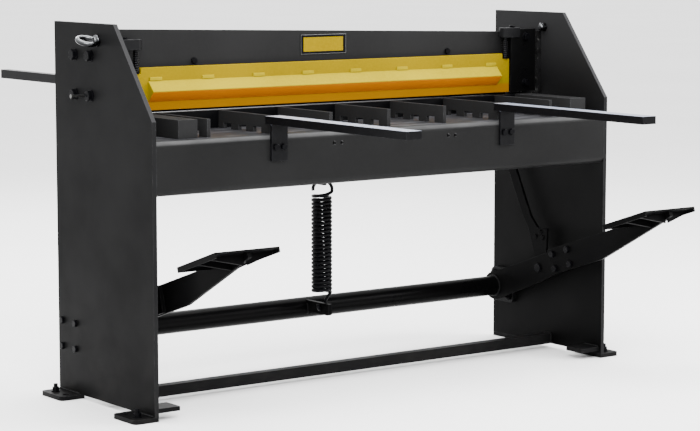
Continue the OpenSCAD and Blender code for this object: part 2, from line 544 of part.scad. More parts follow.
// ---------- back gauge ----------
bg_y = 178;
module back_gauge_bar() color([0.15, 0.15, 0.16]) box(-725, 725, bg_y - 26, bg_y - 6, zt - 34, zt + 16);
module gauge_sliders() color([0.15, 0.15, 0.16]) both() {
  difference() {
    box(654, 698, bg_y - 30, bg_y + 30, z0 + 811, z0 + 862);
    box(663, 663 + gauge_s + 1, bg_y - 31, bg_y + 31, z0 + 819.5, z0 + 820.5 + gauge_s);
    rod_z(z0 + 840, z0 + 863, 676, bg_y, 5.1);
  }
  box(660, 692, bg_y - 26, bg_y - 6, zt + 16, z0 + 811);
}
module knob() {
  rod_z(z0 + 845.7, z0 + 880, 676, bg_y, 5);
  difference() {
    rod_z(z0 + 870, z0 + 890, 676, bg_y, 18);
    for (a = [0:60:300]) rotate_about(676, bg_y, a) rod_z(z0 + 869, z0 + 891, 676 + 20, bg_y, 5, 24);
  }
}
module rotate_about(x, y, a) translate([x, y, 0]) rotate([0, 0, a]) translate([-x, -y, 0]) children();
module left_gauge_knob() color([0.08, 0.08, 0.08]) mirror([1, 0, 0]) knob();
module right_gauge_knob() color([0.08, 0.08, 0.08]) knob();

left_side_plate();
right_side_plate();
front_beam();
table_ribs();
bed_beam();
lower_blade();
lower_blade_screws();
left_side_gauge();
right_side_gauge();
side_gauge_screws();
lower_crossbar();
outer_foot_plates();
inner_foot_plates();
levelling_bolts();
guide_rails();
guide_bolts();
eye_bolts();
gib_screws();
bearing_housings();
bearing_bushes();
bearing_bolts();
spring_anchor();
left_support_arm();
right_support_arm();
support_arm_bolts();
main_spring();
knife_beam();
upper_blade();
upper_blade_screws();
slide_blocks();
knife_beam_bolts();
spring_brackets();
bracket_screws();
hold_down_springs();
nameplate_frame();
nameplate_panel();
drop_arms();
upper_link_pins();
left_gauge_arm();
right_gauge_arm();
hold_down_plate();
hold_down_ridge();
hold_down_studs();
torque_tube();
stub_shafts();
left_lever();
right_lever();
left_pedal_arm();
right_pedal_arm();
arm_joint_bolts();
left_pedal();
right_pedal();
spring_lever();
lower_link_pins();
left_link();
right_link();
back_gauge_bar();
gauge_sliders();
left_gauge_knob();
right_gauge_knob();
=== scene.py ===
import math
import random
import bpy
import bmesh
import numpy as np
from mathutils import Matrix, Vector


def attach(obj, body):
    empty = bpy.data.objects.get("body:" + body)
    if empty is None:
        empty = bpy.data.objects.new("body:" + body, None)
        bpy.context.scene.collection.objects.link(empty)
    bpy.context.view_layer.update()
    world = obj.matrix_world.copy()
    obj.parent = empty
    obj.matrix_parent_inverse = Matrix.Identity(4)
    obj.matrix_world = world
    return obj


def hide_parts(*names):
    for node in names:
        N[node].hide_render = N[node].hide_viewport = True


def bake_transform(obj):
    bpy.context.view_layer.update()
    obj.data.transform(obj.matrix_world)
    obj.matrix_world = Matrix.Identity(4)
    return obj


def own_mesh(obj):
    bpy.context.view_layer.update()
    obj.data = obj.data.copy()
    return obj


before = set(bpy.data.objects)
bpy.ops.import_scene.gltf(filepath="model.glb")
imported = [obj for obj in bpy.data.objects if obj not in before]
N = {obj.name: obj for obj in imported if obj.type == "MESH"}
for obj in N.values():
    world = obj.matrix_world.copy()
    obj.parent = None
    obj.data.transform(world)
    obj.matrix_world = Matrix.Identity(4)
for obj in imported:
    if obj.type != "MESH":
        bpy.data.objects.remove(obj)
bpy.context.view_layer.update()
random.seed(7)


# ---------------------------------------------------------------- materials
class Mat:
    """Small helper that wires a procedural material on object coordinates."""

    def __init__(self, name, rough=0.4, metal=0.0, spec=0.5, coat=0.0, coat_rough=0.1):
        self.m = bpy.data.materials.new(name)
        self.m.use_nodes = True
        self.nt = self.m.node_tree
        self.nt.nodes.clear()
        self.out = self.new("ShaderNodeOutputMaterial")
        self.b = self.new("ShaderNodeBsdfPrincipled")
        self.nt.links.new(self.b.outputs[0], self.out.inputs[0])
        self.b.inputs["Metallic"].default_value = metal
        self.b.inputs["Roughness"].default_value = rough
        self.b.inputs["Specular IOR Level"].default_value = spec
        self.b.inputs["Coat Weight"].default_value = coat
        self.b.inputs["Coat Roughness"].default_value = coat_rough
        self.tc = self.new("ShaderNodeTexCoord")

    def new(self, kind):
        return self.nt.nodes.new(kind)

    def link(self, a, b):
        self.nt.links.new(a, b)

    def noise(self, scale, detail=3.0, rough=0.5, stretch=None, offset=(0, 0, 0)):
        mp = self.new("ShaderNodeMapping")
        mp.inputs["Location"].default_value = offset
        mp.inputs["Scale"].default_value = stretch or (1, 1, 1)
        self.link(self.tc.outputs["Object"], mp.inputs[0])
        n = self.new("ShaderNodeTexNoise")
        n.inputs["Scale"].default_value = scale
        n.inputs["Detail"].default_value = detail
        n.inputs["Roughness"].default_value = rough
        self.link(mp.outputs[0], n.inputs["Vector"])
        return n.outputs[0]

    def ramp(self, src, lo, hi, a=0.0, b=1.0, smooth=True):
        r = self.new("ShaderNodeMapRange")
        r.interpolation_type = "SMOOTHSTEP" if smooth else "LINEAR"
        r.inputs["From Min"].default_value = lo
        r.inputs["From Max"].default_value = hi
        r.inputs["To Min"].default_value = a
        r.inputs["To Max"].default_value = b
        self.link(src, r.inputs["Value"])
        return r.outputs[0]

    def math(self, op, a, b):
        n = self.new("ShaderNodeMath")
        n.operation = op
        for i, v in enumerate((a, b)):
            if isinstance(v, (int, float)):
                n.inputs[i].default_value = v
            else:
                self.link(v, n.inputs[i])
        return n.outputs[0]

    def mix(self, fac, a, b):
        n = self.new("ShaderNodeMix")
        n.data_type = "RGBA"
        for i, v in ((0, fac), (6, a), (7, b)):
            if isinstance(v, tuple):
                n.inputs[i].default_value = (*v, 1.0)
            elif isinstance(v, (int, float)):
                n.inputs[i].default_value = v
            else:
                self.link(v, n.inputs[i])
        return n.outputs[2]

    def edge(self, radius=0.0025, samples=4):
        """0 on a flat face, 1 on a convex or concave edge."""
        bv = self.new("ShaderNodeBevel")
        bv.samples = samples
        bv.inputs["Radius"].default_value = radius
        g = self.new("ShaderNodeNewGeometry")
        d = self.new("ShaderNodeVectorMath")
        d.operation = "DOT_PRODUCT"
        self.link(bv.outputs[0], d.inputs[0])
        self.link(g.outputs["Normal"], d.inputs[1])
        return self.ramp(d.outputs["Value"], 0.995, 0.80, 0.0, 1.0)

    def color(self, out):
        self.link(out, self.b.inputs["Base Color"])

    def rough(self, out):
        self.link(out, self.b.inputs["Roughness"])

    def bump(self, *layers):
        prev = None
        for src, dist in layers:
            n = self.new("ShaderNodeBump")
            n.inputs["Strength"].default_value = 1.0
            n.inputs["Distance"].default_value = dist
            self.link(src, n.inputs["Height"])
            if prev is not None:
                self.link(prev, n.inputs["Normal"])
            prev = n.outputs[0]
        self.link(prev, self.b.inputs["Normal"])


def shade(c, k):
    return tuple(max(0.0, min(1.0, v * k)) for v in c)


def paint(name, rgb, rough=0.42, spec=0.35, wear=0.25, wear_rgb=(0.16, 0.16, 0.165), grain=0.00006, coat=0.0, dirt=0.0, dirt_z=0.35,
          low=0.0, shade_band=None, shade_under=None, high=0.0, rim=None, bend_highlight=0.0, shelf=0.0):
    m = Mat(name, rough, 0.0, spec, coat)
    big = m.ramp(m.noise(2.2, 4.0, 0.55), 0.3, 0.7)
    c = m.mix(big, shade(rgb, 0.86), shade(rgb, 1.14))
    fine = m.ramp(m.noise(140.0, 2.0, 0.6), 0.35, 0.65)
    c = m.mix(m.math("MULTIPLY", fine, 0.22), c, shade(rgb, 1.3))
    scr = m.ramp(m.noise(22.0, 5.0, 0.65, (1.0, 1.0, 6.0), (3, 1, 5)), 0.70, 0.78)
    c = m.mix(m.math("MULTIPLY", scr, 0.16), c, shade(rgb, 1.6))
    sep = m.new("ShaderNodeSeparateXYZ")
    m.link(m.tc.outputs["Object"], sep.inputs[0])
    if low:
        # painted shade: the colour gets darker towards the base
        c = m.mix(m.ramp(sep.outputs["Z"], 0.85, 0.35, 0.0, 1.0), c, shade(rgb, low))
    if high:
        # painted light: the top of the plate is lighter
        c = m.mix(m.ramp(sep.outputs["Z"], 0.78, 0.97, 0.0, 1.0), c, shade(rgb, high))
    if rim or bend_highlight or shelf or shade_under:
        g = m.new("ShaderNodeNewGeometry")
        gn = m.new("ShaderNodeSeparateXYZ")
        m.link(g.outputs["Normal"], gn.inputs[0])
    if rim:
        # painted light on a plate's narrow faces: faces turned front or back are lighter, upward faces much lighter
        ax = m.math("ABSOLUTE", gn.outputs["X"], 0.0)
        c = m.mix(m.ramp(ax, 0.5, 0.3, 0.0, 1.0), c, shade(rgb, rim[0]))
        c = m.mix(m.ramp(gn.outputs["Z"], 0.15, 0.35, 0.0, 1.0), c, shade(rgb, rim[1]))
    if bend_highlight:
        # painted highlight: faces sloping upward along the rounded bend are lighter, broken up by noise
        up = m.math("MULTIPLY", m.ramp(gn.outputs["Z"], 0.30, 0.62), m.ramp(gn.outputs["Z"], 0.985, 0.86))
        br = m.ramp(m.noise(5.0, 4.0, 0.6, (1, 1, 1), (4, 4, 4)), 0.30, 0.70, 0.55, 1.0)
        c = m.mix(m.math("MULTIPLY", up, br), c, shade(rgb, bend_highlight))
    if shelf:
        # painted light: upward faces are lighter, and noise patches of rubbed wear on them are lighter still
        flat = m.ramp(gn.outputs["Z"], 0.95, 0.99)
        rub = m.ramp(m.noise(14.0, 6.0, 0.65, (0.5, 2.2, 1), (2, 2, 9)), 0.50, 0.64)
        c = m.mix(flat, c, (rgb[0] * 2.0, rgb[1] * 2.02, rgb[2] * 2.15))
        c = m.mix(m.math("MULTIPLY", flat, rub), c, (rgb[0] * shelf, rgb[1] * shelf, rgb[2] * shelf * 1.08))
    if shade_band:
        # painted shade: the band of the guard below the ridge is darker orange
        c = m.mix(m.ramp(sep.outputs["Z"], shade_band[1], shade_band[2], 0.0, 1.0), c, shade_band[0])
    if shade_under:
        # painted shade: faces turned downward take a darker colour
        c = m.mix(m.ramp(gn.outputs["Z"], -0.25, -0.6, 0.0, 1.0), c, shade_under)
    if dirt:
        low = m.ramp(sep.outputs["Z"], dirt_z, 0.0)
        dn = m.ramp(m.noise(9.0, 6.0, 0.7, None, (9, 2, 4)), 0.42, 0.66)
        c = m.mix(m.math("MULTIPLY", m.math("MULTIPLY", low, dn), dirt), c, (0.016, 0.015, 0.014))
    if wear:
        e = m.math("MULTIPLY", m.edge(), m.ramp(m.noise(38.0, 4.0, 0.7), 0.38, 0.62))
        c = m.mix(m.math("MULTIPLY", e, wear), c, wear_rgb)
    m.color(c)
    rv = m.ramp(m.noise(7.0, 5.0, 0.6, None, (1, 7, 3)), 0.25, 0.75, rough - 0.06, rough + 0.09)
    m.rough(rv)
    m.bump((m.noise(9.0, 2.0, 0.5, None, (5, 5, 1)), grain * 6), (m.noise(520.0, 2.0, 0.5), grain))
    return m.m


def steel(name, rgb, rough=0.3, stretch=(1, 1, 1), stain=0.3, stain_rgb=(0.10, 0.085, 0.07), grain=0.00003, metal=1.0, shade_below=None, spec=0.5):
    m = Mat(name, rough, metal, spec)
    lines = m.noise(30.0, 6.0, 0.7, stretch)
    c = m.mix(m.ramp(lines, 0.25, 0.75), shade(rgb, 0.82), shade(rgb, 1.12))
    blot = m.ramp(m.noise(6.0, 5.0, 0.65, None, (2, 4, 6)), 0.52, 0.75)
    c = m.mix(m.math("MULTIPLY", blot, stain), c, stain_rgb)
    e = m.math("MULTIPLY", m.edge(0.0015), 0.35)
    c = m.mix(e, c, shade(rgb, 1.35))
    if shade_below:
        # painted shade: faces turned downward are darker
        g = m.new("ShaderNodeNewGeometry")
        gn = m.new("ShaderNodeSeparateXYZ")
        m.link(g.outputs["Normal"], gn.inputs[0])
        c = m.mix(m.ramp(gn.outputs["Z"], 0.45, -0.35, 0.0, 1.0), c, shade_below)
    m.color(c)
    m.rough(m.ramp(m.noise(60.0, 4.0, 0.6, stretch, (1, 3, 3)), 0.25, 0.75, max(0.04, rough - 0.09), rough + 0.12))
    m.bump((lines, grain), (m.noise(320.0, 2.0, 0.5, stretch), grain * 0.6))
    return m.m


MAT = {}
# plate colours: painted shade towards the base and painted light on the narrow faces
MAT["plate"] = paint("plate_powder_coat", (0.0050, 0.0050, 0.0052), 0.46, 0.026, 0.5, (0.05, 0.05, 0.052), dirt=0.2, low=0.5, rim=(1.7, 4.6))
# right plate: a lighter copy of the left plate's colour, with painted light at the top
MAT["plate_r"] = paint("right_plate_powder_coat", (0.0056, 0.0056, 0.0058), 0.46, 0.026, 0.5, (0.05, 0.05, 0.052), low=0.3, high=2.6, rim=(1.7, 4.6))
# front beam: painted highlight on the bend, painted light on the upward faces
MAT["beam"] = paint("beam_powder_coat", (0.0076, 0.0076, 0.0077), 0.40, 0.040, 0.5, (0.06, 0.06, 0.062), bend_highlight=7.0, shelf=6.5)
MAT["table"] = paint("table_powder_coat", (0.0142, 0.0142, 0.0145), 0.62, 0.012, 0.6, (0.08, 0.082, 0.088))
MAT["knife"] = paint("knife_beam_paint", (0.0122, 0.0122, 0.0124), 0.46, 0.035, 0.5, (0.07, 0.07, 0.07))
MAT["crossbar"] = paint("crossbar_paint", (0.0034, 0.0034, 0.0036), 0.42, 0.04, 0.5, (0.03, 0.03, 0.03), dirt=0.2)
MAT["feet"] = paint("foot_paint", (0.0030, 0.0030, 0.0032), 0.44, 0.03, 0.6, (0.05, 0.049, 0.048), dirt=0.3, dirt_z=0.06)
MAT["satin"] = paint("black_satin", (0.0022, 0.0022, 0.0026), 0.34, 0.05, 0.5, (0.03, 0.03, 0.035))
MAT["treadle"] = paint("treadle_satin", (0.0015, 0.0015, 0.0016), 0.40, 0.014, 0.6, (0.03, 0.03, 0.03), dirt=0.12, dirt_z=0.5)
MAT["tube"] = paint("torque_tube_satin", (0.0014, 0.0014, 0.0015), 0.30, 0.03, 0.5, (0.035, 0.035, 0.035))
MAT["bracket"] = paint("bracket_satin", (0.0045, 0.0045, 0.0050), 0.34, 0.08, 0.6, (0.06, 0.06, 0.065))
MAT["block"] = paint("slide_block_paint", (0.0020, 0.0020, 0.0021), 0.30, 0.09, 0.5, (0.04, 0.04, 0.04))
MAT["cast"] = paint("housing_paint", (0.0034, 0.0034, 0.0036), 0.46, 0.06, 0.5, (0.04, 0.04, 0.04), grain=0.0003)
# guard plate, with a painted shade band below the ridge
MAT["yellow"] = paint("guard_yellow", (0.212, 0.146, 0.0), 0.46, 0.006, 0.12, (0.30, 0.23, 0.0), shade_band=((0.240, 0.104, 0.0), 0.806, 0.797))
# ridge: a lighter copy of the guard yellow as painted light, with painted shade on its underside
MAT["ridge"] = paint("ridge_yellow", (0.275, 0.212, 0.002), 0.42, 0.008, 0.12, (0.36, 0.29, 0.02), shade_under=(0.60, 0.180, 0.0))
MAT["panel"] = paint("nameplate_yellow", (0.22, 0.150, 0.0), 0.34, 0.01, 0.1, (0.32, 0.25, 0.02))
MAT["frame_black"] = paint("nameplate_black", (0.0022, 0.0022, 0.0022), 0.34, 0.05, 0.2, (0.03, 0.03, 0.03))
MAT["frame_rim"] = steel("nameplate_rim", (0.10, 0.102, 0.106), 0.34, (1, 1, 1), 0.1)
MAT["knob"] = paint("knob_plastic", (0.0035, 0.0035, 0.0035), 0.52, 0.06, 0.2, (0.02, 0.02, 0.02), grain=0.0002)
# painted shade: the lower blade is made nearly black to stand in for the shadow in the gap under the guard
MAT["blade"] = steel("blade_steel", (0.0060, 0.0060, 0.0064), 0.34, (1, 1, 40), 0.3, (0.003, 0.003, 0.0025), metal=0.0, spec=0.10)
MAT["edge_blade"] = steel("upper_blade_steel", (0.030, 0.031, 0.033), 0.34, (1, 1, 40), 0.25, (0.012, 0.011, 0.010), metal=0.5, spec=0.2)
MAT["shaft"] = steel("turned_steel", (0.05, 0.05, 0.053), 0.28, (60, 1, 1), 0.3, (0.015, 0.014, 0.012))
MAT["zinc"] = steel("zinc_steel", (0.09, 0.092, 0.096), 0.32, (1, 1, 1), 0.3, (0.02, 0.019, 0.017))
# painted shade on the downward faces of the eye bolts
MAT["chrome"] = steel("bright_plate", (0.105, 0.108, 0.112), 0.22, (1, 1, 1), 0.25, (0.04, 0.04, 0.04), 0.00002, shade_below=(0.012, 0.012, 0.013))
MAT["rod"] = steel("zinc_rod", (0.12, 0.12, 0.118), 0.30, (1, 60, 60), 0.2, (0.04, 0.04, 0.04))
MAT["oxide"] = steel("black_oxide", (0.0020, 0.0020, 0.0025), 0.30, (1, 1, 1), 0.3, (0.0012, 0.0011, 0.0011), metal=0.0, spec=0.04)
MAT["spring"] = steel("spring_steel", (0.0020, 0.0020, 0.0026), 0.30, (1, 1, 1), 0.3, (0.0012, 0.0011, 0.0012), metal=0.0, spec=0.05)
MAT["hspring"] = steel("small_spring_steel", (0.030, 0.030, 0.032), 0.28, (1, 1, 1), 0.2, (0.008, 0.008, 0.008))
MAT["bronze"] = steel("bronze", (0.12, 0.072, 0.03), 0.3, (60, 1, 1), 0.3, (0.04, 0.027, 0.014))
MAT["weld"] = paint("weld_bead", (0.0040, 0.0040, 0.0042), 0.38, 0.06, 0.3, (0.03, 0.03, 0.03), grain=0.0002)


def ground_top():
    """Black bar whose upper face is ground bright."""
    m = Mat("arm_satin_ground_top", 0.34, 0.0, 0.05)
    g = m.new("ShaderNodeNewGeometry")
    sep = m.new("ShaderNodeSeparateXYZ")
    m.link(g.outputs["Normal"], sep.inputs[0])
    top = m.ramp(sep.outputs["Z"], 0.80, 0.92)
    lines = m.noise(46.0, 6.0, 0.7, (9.0, 0.5, 1.0))
    bright = m.mix(m.ramp(lines, 0.25, 0.75), (0.31, 0.335, 0.42), (0.40, 0.43, 0.535))
    blot = m.ramp(m.noise(7.0, 5.0, 0.65, None, (2, 4, 6)), 0.55, 0.78)
    bright = m.mix(m.math("MULTIPLY", blot, 0.35), bright, (0.14, 0.155, 0.20))
    dark = m.mix(m.ramp(m.noise(120.0, 3.0, 0.6), 0.35, 0.65), (0.0022, 0.0022, 0.0026), (0.0032, 0.0032, 0.0036))
    worn = m.math("MULTIPLY", m.edge(), m.ramp(m.noise(38.0, 4.0, 0.7), 0.38, 0.62))
    dark = m.mix(m.math("MULTIPLY", worn, 0.5), dark, (0.035, 0.035, 0.04))
    m.color(m.mix(top, dark, bright))
    m.link(m.math("MULTIPLY", top, 0.85), m.b.inputs["Metallic"])
    m.rough(m.ramp(lines, 0.2, 0.8, 0.30, 0.42))
    m.bump((lines, 0.00004), (m.noise(420.0, 2.0, 0.5), 0.00004))
    return m.m


MAT["arm"] = ground_top()


def rail_material():
    """Guide rail: dark paint and old grease, with pale specks where the block rubs its front edge."""
    m = Mat("guide_rail_steel", 0.40, 0.0, 0.06)
    base = m.mix(m.ramp(m.noise(14.0, 5.0, 0.6), 0.3, 0.7), (0.0055, 0.0055, 0.0057), (0.0085, 0.0085, 0.0088))
    grease = m.ramp(m.noise(24.0, 5.0, 0.7, None, (4, 4, 4)), 0.45, 0.62)
    c = m.mix(m.math("MULTIPLY", grease, 0.6), base, (0.0025, 0.0024, 0.0022))
    sep = m.new("ShaderNodeSeparateXYZ")
    m.link(m.tc.outputs["Object"], sep.inputs[0])
    ax = m.math("ABSOLUTE", sep.outputs["X"], 0.0)
    edge = m.ramp(ax, 0.7585, 0.7545)
    speck = m.ramp(m.noise(150.0, 4.0, 0.65, (1, 1, 0.6), (8, 1, 2)), 0.59, 0.64)
    c = m.mix(m.math("MULTIPLY", m.math("MULTIPLY", speck, edge), 0.8), c, (0.075, 0.075, 0.073))
    m.color(c)
    m.rough(m.ramp(grease, 0.0, 1.0, 0.44, 0.22))
    m.bump((grease, 0.0003), (speck, 0.0004))
    return m.m


MAT["rail"] = rail_material()

LOOK = {
    "left_side_plate": "plate", "right_side_plate": "plate_r", "front_beam": "beam", "table_ribs": "table",
    "bed_beam": "satin", "lower_blade": "blade", "lower_blade_screws": "oxide", "left_side_gauge": "table",
    "right_side_gauge": "table", "side_gauge_screws": "oxide", "lower_crossbar": "crossbar",
    "outer_foot_plates": "feet", "inner_foot_plates": "feet", "levelling_bolts": "oxide", "guide_rails": "rail",
    "guide_bolts": "oxide", "eye_bolts": "chrome", "gib_screws": "rod", "bearing_housings": "cast",
    "bearing_bushes": "bronze", "bearing_bolts": "oxide", "spring_anchor": "beam", "left_support_arm": "arm",
    "right_support_arm": "arm", "support_arm_bolts": "oxide", "main_spring": "spring", "knife_beam": "knife",
    "upper_blade": "edge_blade", "upper_blade_screws": "oxide", "slide_blocks": "block", "knife_beam_bolts": "oxide",
    "spring_brackets": "bracket", "bracket_screws": "oxide", "hold_down_springs": "hspring",
    "nameplate_frame": "frame_black", "nameplate_panel": "panel", "drop_arms": "treadle", "upper_link_pins": "oxide",
    "left_gauge_arm": "satin", "right_gauge_arm": "satin", "hold_down_plate": "yellow", "hold_down_ridge": "ridge",
    "hold_down_studs": "oxide", "torque_tube": "tube", "stub_shafts": "shaft", "left_lever": "treadle",
    "right_lever": "treadle", "left_pedal_arm": "treadle", "right_pedal_arm": "treadle", "arm_joint_bolts": "oxide",
    "left_pedal": "treadle", "right_pedal": "treadle", "spring_lever": "treadle", "lower_link_pins": "oxide",
    "left_link": "treadle", "right_link": "treadle", "back_gauge_bar": "satin", "gauge_sliders": "satin",
    "left_gauge_knob": "knob", "right_gauge_knob": "knob",
}
BEVEL = {"eye_bolts": 0.6, "nameplate_panel": 0.3, "nameplate_frame": 0.5, "hold_down_plate": 1.2, "hold_down_ridge": 0.9,
         "left_side_plate": 1.0, "right_side_plate": 1.0, "front_beam": 1.0, "left_pedal": 0.8, "right_pedal": 0.8,
         "levelling_bolts": 0.7, "left_support_arm": 1.0, "right_support_arm": 1.0, "left_link": 0.9, "right_link": 0.9}


def rounded(o, mm, angle=32):
    for p in o.data.polygons:
        p.use_smooth = True
    w = o.modifiers.new("join", "WELD")
    w.merge_threshold = 0.00002
    if len(o.data.polygons) < 2600 and o.name != "hold_down_ridge":
        d = o.modifiers.new("plane", "DECIMATE")
        d.decimate_type = "DISSOLVE"
        d.angle_limit = math.radians(0.4)
    b = o.modifiers.new("round", "BEVEL")
    b.width = mm * 0.001
    b.segments = 2
    b.limit_method = "ANGLE"
    b.angle_limit = math.radians(angle)
    b.harden_normals = True
    b.use_clamp_overlap = True


for name, o in N.items():
    if "custom_normal" in o.data.attributes:
        o.data.attributes.remove(o.data.attributes["custom_normal"])
    o.data.materials.clear()
    o.data.materials.append(MAT[LOOK[name]])
    if name not in ("main_spring", "hold_down_springs"):
        rounded(o, BEVEL.get(name, 0.7))


# ---------------------------------------------------------------- geometry helpers
def add(name, me, material, body=None, smooth=True):
    o = bpy.data.objects.new(name, me)
    bpy.context.scene.collection.objects.link(o)
    me.materials.append(MAT[material])
    for p in me.polygons:
        p.use_smooth = smooth
    if body:
        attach(o, body)
    return o


def smooth_path(pts, step):
    """Catmull-Rom through pts, resampled at about step."""
    P = np.array(pts, float)
    P = np.vstack([2 * P[0] - P[1], P, 2 * P[-1] - P[-2]])
    out = []
    for i in range(1, len(P) - 2):
        a, b, c, d = P[i - 1], P[i], P[i + 1], P[i + 2]
        n = max(1, int(np.linalg.norm(c - b) / step))
        for k in range(n):
            t = k / n
            out.append(0.5 * (2 * b + (c - a) * t + (2 * a - 5 * b + 4 * c - d) * t * t + (3 * b - a - 3 * c + d) * t ** 3))
    out.append(P[-2])
    return np.array(out)


def tube(name, pts, radius, sides=12, cap=True):
    """Round wire along pts. radius is a number or one per point."""
    P = np.array(pts, float)
    n = len(P)
    R = np.full(n, radius) if np.isscalar(radius) else np.array(radius)
    T = np.gradient(P, axis=0)
    T /= np.linalg.norm(T, axis=1)[:, None]
    ref = np.array([0, 1.0, 0]) if abs(T[0][1]) < 0.8 else np.array([1.0, 0, 0])
    U = ref - T[0] * (ref @ T[0])
    U /= np.linalg.norm(U)
    verts, faces = [], []
    for i in range(n):
        U = U - T[i] * (U @ T[i])
        U /= np.linalg.norm(U)
        V = np.cross(T[i], U)
        for k in range(sides):
            a = 2 * math.pi * k / sides
            verts.append(tuple(P[i] + R[i] * (math.cos(a) * U + math.sin(a) * V)))
    for i in range(n - 1):
        for k in range(sides):
            a, b = i * sides + k, i * sides + (k + 1) % sides
            faces.append((a, b, b + sides, a + sides))
    if cap:
        faces.append(tuple(range(sides - 1, -1, -1)))
        faces.append(tuple((n - 1) * sides + k for k in range(sides)))
    me = bpy.data.meshes.new(name)
    me.from_pydata(verts, [], faces)
    me.update()
    return me


def bead(name, a, b, r=0.003, body="frame", material="weld", pitch=0.0035, side=None):
    """A fillet weld from a to b: a ridge with the ripple of overlapping pools. Its middle lies on the seam."""
    A, B = np.array(a, float), np.array(b, float)
    L = np.linalg.norm(B - A)
    n = max(8, int(L / pitch) * 4)
    rnd = random.Random(int(L * 1e5) + len(name))
    pts, rad = [], []
    ph = rnd.random() * 6
    for i in range(n + 1):
        t = i / n
        w = 0.5 + 0.5 * math.cos(2 * math.pi * t * L / pitch + ph)
        end = min(1.0, min(t, 1 - t) * L / (r * 1.2) + 0.25)
        rad.append(r * (0.80 + 0.20 * w) * end * (1 + 0.06 * math.sin(37 * t * L / 0.05 + ph)))
        pts.append(A + (B - A) * t)
    me = tube(name, pts, rad, 10)
    return add(name, me, material, body)


# ---------------------------------------------------------------- springs
Z0 = 0.012
SY = 0.101
RC = 0.025
LOOP = math.radians(-36)


def pol(r, z):
    return (r * math.cos(LOOP), SY + r * math.sin(LOOP), z)


def main_spring():
    pts = []
    for i in range(13):
        a = math.radians(-200 + i * 15)
        pts.append((0.013 * math.cos(a), SY, Z0 + 0.173 + 0.013 * math.sin(a)))
    e = pol(RC, Z0 + 0.2085)
    for f in (0.3, 0.6, 0.85):
        pts.append((0.012 + (e[0] - 0.012) * f * f, SY + (e[1] - SY) * f * f, Z0 + 0.178 + (e[2] - Z0 - 0.178) * f))
    turns = 24
    for i in range(24 * turns + 1):
        a = 2 * math.pi * i / 24 + LOOP
        pts.append((RC * math.cos(a), SY + RC * math.sin(a), Z0 + 0.2115 + 0.272 * i / (24 * turns)))
    for i in range(1, 11):
        f = max(0, i - 6) / 6
        a = math.radians(30 * i) + LOOP
        r = RC + 0.002 * f
        pts.append((r * math.cos(a), SY + r * math.sin(a), Z0 + 0.4835 + 0.0113 * i / 12 + 0.006 * f * f))
    for i in range(15):
        a = math.radians(-20 + i * 15)
        pts.append(pol(0.0024 + 0.027 * math.cos(a), Z0 + 0.509 + 0.025 * math.sin(a)))
    p = smooth_path(pts, 0.0026)
    wire = [0.0054 if Z0 + 0.2125 < q[2] < Z0 + 0.4825 else 0.0048 for q in p]
    me = tube("main_spring_wire", p, wire, 12)
    o = add("main_spring_wire", me, "spring")
    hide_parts("main_spring")
    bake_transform(o)


main_spring()

HZ = 0.874


def hold_spring(sign, name):
    n, r = 10, 0.0096
    z_lo, z_hi = HZ + 0.0035, 0.9365
    pts = []
    for i in range(20 * n + 1):
        f = i / (20 * n)
        # end turns slightly tighter
        g = 0.5 - 0.5 * math.cos(math.pi * min(1, max(0, (f - 0.0))))
        z = z_lo + (z_hi - z_lo) * (0.12 * g + 0.88 * f)
        a = 2 * math.pi * i / 20
        pts.append((sign * 0.640 + r * math.cos(a), 0.0555 + r * math.sin(a), z))
    me = tube(name, smooth_path(pts, 0.0016), 0.0008, 8)
    o = add(name, me, "hspring", "knife")
    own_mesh(o)
    return o


hs = [hold_spring(-1, "left_hold_down_spring_wire"), hold_spring(1, "right_hold_down_spring_wire")]
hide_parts("hold_down_springs")

# ---------------------------------------------------------------- welds
for s, side in ((-1, "left"), (1, "right")):
    # foot plates to the side plate, outside
    for m, where in ((-1, "front"), (1, "rear")):
        y0, y1 = m * 0.2455, m * 0.1345
        bead(f"{side}_{where}_foot_weld", (s * 0.7775, y0, 0.0135), (s * 0.7775, y1, 0.0135), 0.0035)
    bead(f"{side}_inner_foot_weld", (s * 0.7625, -0.236, 0.0335), (s * 0.7625, -0.175, 0.0335), 0.003)
    # crossbar to the side plates
    bead(f"{side}_crossbar_weld", (s * 0.7625, -0.0255, 0.0435), (s * 0.7625, 0.0065, 0.0435), 0.003)
    bead(f"{side}_crossbar_front_weld", (s * 0.7625, -0.0262, 0.014), (s * 0.7625, -0.0262, 0.041), 0.003)
    # front beam to the side plates, behind the face
    bead(f"{side}_beam_weld", (s * 0.7625, -0.2385, 0.600), (s * 0.7625, -0.2385, 0.700), 0.003)
    # lever to the torque tube
    ring = [(s * 0.7145, 0.1905 + 0.0305 * math.cos(a), 0.168 + 0.0305 * math.sin(a)) for a in np.linspace(0, 2 * math.pi, 90)]
    rad = [0.0034 * (0.85 + 0.15 * math.cos(i * 1.9)) for i in range(90)]
    add(f"{side}_tube_weld", tube(f"{side}_tube_weld", ring, rad, 10), "weld", "treadle")
# spring lever to the tube
for s, side in ((-1, "left"), (1, "right")):
    arc = [(s * 0.0068, 0.1905 + 0.0306 * math.cos(a), 0.168 + 0.0306 * math.sin(a)) for a in np.linspace(math.radians(150), math.radians(210), 22)]
    rad = [0.0026 * (0.85 + 0.15 * math.cos(i * 1.9)) for i in range(22)]
    add(f"{side}_spring_lever_weld", tube(f"{side}_spring_lever_weld", arc, rad, 10), "weld", "treadle")
# ribs to the shelf
for i in range(7):
    x = (i - 3) * 0.195
    for k, (ya, yb2) in enumerate(((-0.2140, -0.1770), (-0.1385, -0.1045), (-0.0665, -0.0325), (0.0055, 0.0290))):
        for s, side in ((-1, "l"), (1, "r")):
            bead(f"rib_weld_{i}_{k}_{side}", (x + s * 0.0052, ya, 0.7213), (x + s * 0.0052, yb2, 0.7213), 0.0016, pitch=0.003)


